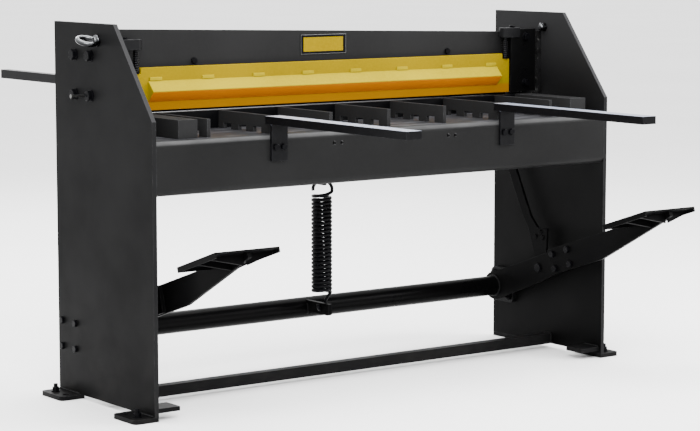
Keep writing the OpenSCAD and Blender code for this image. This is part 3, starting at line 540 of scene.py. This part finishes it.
# ---------------------------------------------------------------- fasteners
class Solid:
    """Turned and hexagonal pieces gathered into one mesh. Lengths in millimetres."""

    def __init__(self):
        self.v, self.f = [], []

    def basis(self, axis):
        w = np.array(axis, float)
        w /= np.linalg.norm(w)
        u = np.cross([0, 0, 1.0], w) if abs(w[2]) < 0.9 else np.cross([0, 1.0, 0], w)
        u /= np.linalg.norm(u)
        return u, np.cross(w, u), w

    def rings(self, rings, at, axis, turn=0.0, cap=True):
        """rings: a list of (radius function or number, height function or number)."""
        u, v, w = self.basis(axis)
        n = 36
        base = len(self.v)
        at = np.array(at, float)
        for r, h in rings:
            for k in range(n):
                a = 2 * math.pi * k / n + turn
                rr = r(a - turn) if callable(r) else r
                hh = h(a - turn) if callable(h) else h
                self.v.append(tuple((at + u * rr * math.cos(a) + v * rr * math.sin(a) + w * hh) * 0.001))
        for i in range(len(rings) - 1):
            for k in range(n):
                a, b = base + i * n + k, base + i * n + (k + 1) % n
                self.f.append((a, b, b + n, a + n))
        if cap:
            self.f.append(tuple(base + k for k in range(n - 1, -1, -1)))
            self.f.append(tuple(base + (len(rings) - 1) * n + k for k in range(n)))

    def hexagon(self, at, axis, af, h, turn=0.0, both=False):
        """Hexagon head or nut with turned corners; at is its seat."""
        def rh(a):
            d = (math.degrees(a) % 60) - 30
            return af / 2 / math.cos(math.radians(d))
        rc = af / 2 * 0.965
        k = math.tan(math.radians(28))
        low = (lambda a: (rh(a) - rc) * k) if both else 0.0
        self.rings([(rc * 0.99, 0.0), (rh, low), (rh, lambda a: h - (rh(a) - rc) * k), (rc, h), (rc * 0.80, h)], at, axis, turn)

    def washer(self, at, axis, ro, t):
        self.rings([(ro - 0.35, 0.0), (ro, 0.35), (ro, t - 0.45), (ro - 0.45, t), (ro * 0.5, t)], at, axis)

    def rod(self, at, axis, r, length, thread=0.0, pitch=1.5, c=0.8):
        """Round bar from at; its last `thread` millimetres carry grooves."""
        rr = [(r, 0.0)]
        z = length - thread
        if thread:
            rr.append((r, z))
            while z + pitch < length - c:
                rr += [(r * 0.90, z + pitch * 0.5), (r, z + pitch)]
                z += pitch
        rr += [(r, length - c), (r - c, length)]
        self.rings(rr, at, axis)

    def done(self, name, material, body, node):
        me = bpy.data.meshes.new(name)
        me.from_pydata(self.v, [], self.f)
        me.update()
        o = add(name, me, material, body)
        me.set_sharp_from_angle(angle=math.radians(24))
        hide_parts(node)
        return o


XI, XO = 764.0, 776.0
turns = random.Random(3)


def tw():
    return turns.uniform(0, math.pi / 3)


g = Solid()
for s in (-1, 1):
    for y in (56.0, 137.5):
        for z in (821.5, 926.5):
            g.rod((s * (XI - 7.5), y, z), (s, 0, 0), 8.0, 23.5)
            g.washer((s * XO, y, z), (s, 0, 0), 15.5, 4.0)
            g.hexagon((s * (XO + 4), y, z), (s, 0, 0), 24.0, 9.9, tw())
g.done("guide_bolt_set", "oxide", "frame", "guide_bolts")

g = Solid()
for s in (-1, 1):
    for dy in (-35.0, 35.0):
        for dz in (-35.0, 35.0):
            y, z = 190.5 + dy, 168.0 + dz
            g.hexagon((s * XO, y, z), (s, 0, 0), 17.0, 7.0, tw())
            g.rod((s * (XO - 1), y, z), (-s, 0, 0), 5.0, 39.0, 14.0)
            g.hexagon((s * (XI - 14), y, z), (-s, 0, 0), 17.0, 8.0, tw(), True)
g.done("bearing_bolt_set", "oxide", "frame", "bearing_bolts")

g = Solid()
for sx in (-1, 1):
    for sy in (-1, 1):
        at = (sx * 808.0, sy * 212.5)
        g.rod((at[0], at[1], 1.2), (0, 0, 1), 6.0, 32.6, 12.0, 1.75, 1.2)
        g.washer((at[0], at[1], 12.0), (0, 0, 1), 12.0, 2.5)
        g.hexagon((at[0], at[1], 14.5), (0, 0, 1), 18.0, 10.0, tw(), True)
g.done("levelling_bolt_set", "oxide", "frame", "levelling_bolts")

g = Solid()
for x in (-390.0, 390.0):
    for d in (-12.5, 12.5):
        g.hexagon((x + d, -255.5, 689.0), (0, -1, 0), 16.0, 6.9, tw())
        g.rod((x + d, -255.0, 689.0), (0, 1, 0), 5.0, 27.3, 14.0)
        g.hexagon((x + d, -239.5, 689.0), (0, 1, 0), 16.0, 8.0, tw(), True)
g.done("support_arm_bolt_set", "oxide", "frame", "support_arm_bolts")

g = Solid()
for x in (-711.0, 711.0):
    for z in (801.0, 939.0):
        g.washer((x, 45.5, z), (0, -1, 0), 13.0, 4.0)
        g.hexagon((x, 41.5, z), (0, -1, 0), 18.0, 7.9, tw())
        g.rod((x, 42.0, z), (0, 1, 0), 6.0, 74.3, 16.0)
        g.hexagon((x, 102.5, z), (0, 1, 0), 18.0, 10.0, tw(), True)
for x in (-440.0, 440.0):
    g.hexagon((x, 82.5, 902.0), (0, -1, 0), 16.0, 7.0, tw())
    g.rod((x, 83.0, 902.0), (0, 1, 0), 5.0, 31.3, 12.0)
    g.hexagon((x, 102.5, 902.0), (0, 1, 0), 16.0, 8.0, tw(), True)
g.done("knife_beam_bolt_set", "oxide", "knife", "knife_beam_bolts")

g = Solid()
for x in (-672.0, 672.0):
    g.hexagon((x, 62.0, 966.0), (0, 0, 1), 16.0, 6.4, tw())
    g.rod((x, 62.0, 966.3), (0, 0, -1), 5.0, 56.0)
g.done("bracket_screw_set", "oxide", "knife", "bracket_screws")

g = Solid()
pa = math.radians(18)
for s in (-1, 1):
    for a in (-34.5, 34.5):
        for b in (-22.0, 22.0):
            y = -134.0 + a * math.cos(pa) + b * math.sin(pa)
            z = 287.0 - a * math.sin(pa) + b * math.cos(pa)
            g.hexagon((s * 705.0, y, z), (-s, 0, 0), 18.0, 7.9, tw())
            g.rod((s * 705.3, y, z), (s, 0, 0), 6.0, 29.6, 10.0)
            g.hexagon((s * 725.0, y, z), (s, 0, 0), 18.0, 8.0, tw(), True)
g.done("arm_joint_bolt_set", "oxide", "treadle", "arm_joint_bolts")


def eye_bolts():
    g = Solid()
    for s in (-1, 1):
        at = (s * XO, 20.0, 967.0)
        g.rod((s * (XO + 1), 20.0, 967.0), (-s, 0, 0), 8.0, 32.0, 17.0, 2.0)
        g.rings([(16.0, 0.0), (16.0, 5.6), (15.2, 6.8), (13.0, 7.6), (10.6, 9.2), (9.2, 11.0), (8.6, 12.6)], at, (s, 0, 0))
        g.hexagon((s * XI, 20.0, 967.0), (-s, 0, 0), 24.0, 13.0, tw(), True)
        # ring, tilted back about the bolt's own axis
        base = len(g.v)
        t = math.radians(19)
        n, m = 72, 24
        for i in range(n):
            a = 2 * math.pi * i / n
            for k in range(m):
                b = 2 * math.pi * k / m
                r = 24.5 + 6.98 * math.cos(b)
                x, y, z = r * math.cos(a), r * math.sin(a), 6.98 * math.sin(b)
                y, z = y * math.cos(t) - z * math.sin(t), y * math.sin(t) + z * math.cos(t)
                g.v.append(((s * (XO + 30.5 + x)) * 0.001, (20.0 + y) * 0.001, (967.0 + z) * 0.001))
        for i in range(n):
            for k in range(m):
                f = (base + i * m + k, base + ((i + 1) % n) * m + k, base + ((i + 1) % n) * m + (k + 1) % m, base + i * m + (k + 1) % m)
                g.f.append(f if s > 0 else f[::-1])
    return g.done("eye_bolt_pair", "chrome", "frame", "eye_bolts")


eye_bolts()

# ---------------------------------------------------------------- the guard's folded ridge
def fillet(poly, radii, n=5):
    """Rounds the corners of a closed polygon given as (y, z)."""
    out = []
    m = len(poly)
    for i in range(m):
        p, a, b = np.array(poly[i]), np.array(poly[i - 1]), np.array(poly[(i + 1) % m])
        r = radii[i]
        if r <= 0:
            out.append(tuple(p))
            continue
        u, v = (a - p) / np.linalg.norm(a - p), (b - p) / np.linalg.norm(b - p)
        half = math.acos(max(-1, min(1, float(u @ v)))) / 2
        d = r / math.tan(half)
        c = p + (u + v) / np.linalg.norm(u + v) * r / math.sin(half)
        s0, s1 = p + u * d - c, p + v * d - c
        a0, a1 = math.atan2(s0[1], s0[0]), math.atan2(s1[1], s1[0])
        while a1 - a0 > math.pi:
            a1 -= 2 * math.pi
        while a1 - a0 < -math.pi:
            a1 += 2 * math.pi
        for k in range(n + 1):
            t = a0 + (a1 - a0) * k / n
            out.append((c[0] + r * math.cos(t), c[1] + r * math.sin(t)))
    return out


def prism(V, F, poly, x0, x1, c=0.8, seg=1):
    """Adds a bar along X with the outline poly (mm, y and z) and small chamfers at its ends."""
    P = np.array(poly)
    mid = P.mean(axis=0)
    shrink = []
    for q in P:
        d = q - mid
        shrink.append(tuple(q - d / np.linalg.norm(d) * c))
    rows = [(x0, shrink), (x0 + c, [tuple(q) for q in P])]
    for k in range(1, seg):
        rows.append((x0 + c + (x1 - x0 - 2 * c) * k / seg, [tuple(q) for q in P]))
    rows += [(x1 - c, [tuple(q) for q in P]), (x1, shrink)]
    base, n = len(V), len(P)
    for x, r in rows:
        V += [(x * 0.001, y * 0.001, z * 0.001) for y, z in r]
    area2 = sum(P[i][0] * P[(i + 1) % n][1] - P[(i + 1) % n][0] * P[i][1] for i in range(n))
    flip = area2 < 0
    for i in range(len(rows) - 1):
        for k in range(n):
            f = (base + i * n + k, base + i * n + (k + 1) % n, base + (i + 1) * n + (k + 1) % n, base + (i + 1) * n + k)
            F.append(f[::-1] if flip else f)
    e0 = tuple(base + k for k in range(n - 1, -1, -1))
    e1 = tuple(base + (len(rows) - 1) * n + k for k in range(n))
    F.append(e0[::-1] if flip else e0)
    F.append(e1[::-1] if flip else e1)


def ridge():
    V, F = [], []
    prism(V, F, fillet([(50.5, 797.0), (50.5, 855.0), (23.5, 826.0)], [0.8, 0.8, 2.6]), -604.0, 604.0, 0.8, 24)
    for i in range(8):
        x = (i - 3.5) * 166
        prism(V, F, fillet([(47.5, 855.0), (50.5, 855.0), (50.5, 864.0), (47.5, 864.0)], [0, 0, 0, 1.4]), x - 19, x + 19, 0.6)
    me = bpy.data.meshes.new("guard_ridge")
    me.from_pydata(V, [], F)
    me.update()
    o = add("guard_ridge", me, "ridge", "hold_down")
    me.set_sharp_from_angle(angle=math.radians(30))
    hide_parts("hold_down_ridge")


ridge()

# ---------------------------------------------------------------- nameplate: thin bright rim around the blank field
def rim():
    bm = bmesh.new()
    y0, y1 = 0.0803, 0.0826
    outer = [(-0.0856, 0.9072), (0.0716, 0.9072), (0.0716, 0.9629), (-0.0856, 0.9629)]
    inner = [(-0.0832, 0.9096), (0.0692, 0.9096), (0.0692, 0.9605), (-0.0832, 0.9605)]
    y = 0.0804
    rows = []
    for ring, yy in ((outer, 0.0824), (outer, 0.0806), ([((a + c) / 2, (b + d) / 2) for (a, b), (c, d) in zip(outer, inner)], y - 0.0002), (inner, 0.0808)):
        rows.append([bm.verts.new((p[0], yy, p[1])) for p in ring])
    for r0, r1 in zip(rows, rows[1:]):
        for k in range(4):
            bm.faces.new((r0[k], r0[(k + 1) % 4], r1[(k + 1) % 4], r1[k]))
    bmesh.ops.recalc_face_normals(bm, faces=bm.faces)
    me = bpy.data.meshes.new("nameplate_rim")
    bm.to_mesh(me)
    return add("nameplate_rim", me, "frame_rim", "knife", False)


rim()

# ---------------------------------------------------------------- stage
def floor():
    me = bpy.data.meshes.new("floor")
    s = 90.0
    me.from_pydata([(-s, -s, 0), (s, -s, 0), (s, s, 0), (-s, s, 0)], [], [(0, 1, 2, 3)])
    o = bpy.data.objects.new("studio_floor", me)
    bpy.context.scene.collection.objects.link(o)
    m = Mat("floor_paper", 0.75, 0.0, 0.2)
    n = m.noise(0.6, 3.0, 0.5)
    m.color(m.mix(m.ramp(n, 0.3, 0.7), (0.93, 0.93, 0.93), (0.96, 0.96, 0.96)))
    me.materials.append(m.m)
    o.location = (0, 0, -0.0002)
    return o


stage = [floor()]


def area(name, loc, target, size, power, color=(1, 1, 1)):
    l = bpy.data.lights.new(name, "AREA")
    l.shape = "RECTANGLE"
    l.size, l.size_y = size
    l.energy = power
    l.color = color
    o = bpy.data.objects.new(name, l)
    o.location = loc
    d = Vector(target) - Vector(loc)
    o.rotation_euler = d.to_track_quat("-Z", "Y").to_euler()
    bpy.context.scene.collection.objects.link(o)
    stage.append(o)
    return o


area("key_softbox", (-2.6, -3.4, 3.6), (0, -0.2, 0.6), (3.0, 2.2), 300)
area("top_softbox", (0.2, 0.3, 4.2), (0, 0, 0.6), (4.0, 3.0), 350)
area("right_softbox", (3.6, -2.2, 2.4), (0, 0, 0.6), (2.2, 2.0), 210)
area("rear_softbox", (1.0, 4.2, 3.0), (0, 0, 0.8), (3.0, 1.6), 150)

world = bpy.data.worlds.new("studio")
bpy.context.scene.world = world
world.use_nodes = True
nt = world.node_tree
nt.nodes.clear()
wo = nt.nodes.new("ShaderNodeOutputWorld")
bg = nt.nodes.new("ShaderNodeBackground")
tc = nt.nodes.new("ShaderNodeTexCoord")
sep = nt.nodes.new("ShaderNodeSeparateXYZ")
mr = nt.nodes.new("ShaderNodeMapRange")
mr.inputs["From Min"].default_value = -0.05
mr.inputs["From Max"].default_value = 0.9
mr.inputs["To Min"].default_value = 1.15
mr.inputs["To Max"].default_value = 2.9
nt.links.new(tc.outputs["Generated"], sep.inputs[0])
nt.links.new(sep.outputs["Z"], mr.inputs["Value"])
nt.links.new(mr.outputs[0], bg.inputs["Strength"])
bg.inputs["Color"].default_value = (1.0, 1.0, 1.0, 1.0)
nt.links.new(bg.outputs[0], wo.inputs[0])

cam = bpy.data.cameras.new("photo_camera")
cam.sensor_width = 36.0
cam.lens = 118.985
cam.clip_end = 400
co = bpy.data.objects.new("photo_camera", cam)
co.location = (-3.82382, -5.23164, 1.24104)
co.rotation_euler = (math.radians(90 - 6.9189), 0, math.radians(-36.35))
bpy.context.scene.collection.objects.link(co)
bpy.context.scene.camera = co
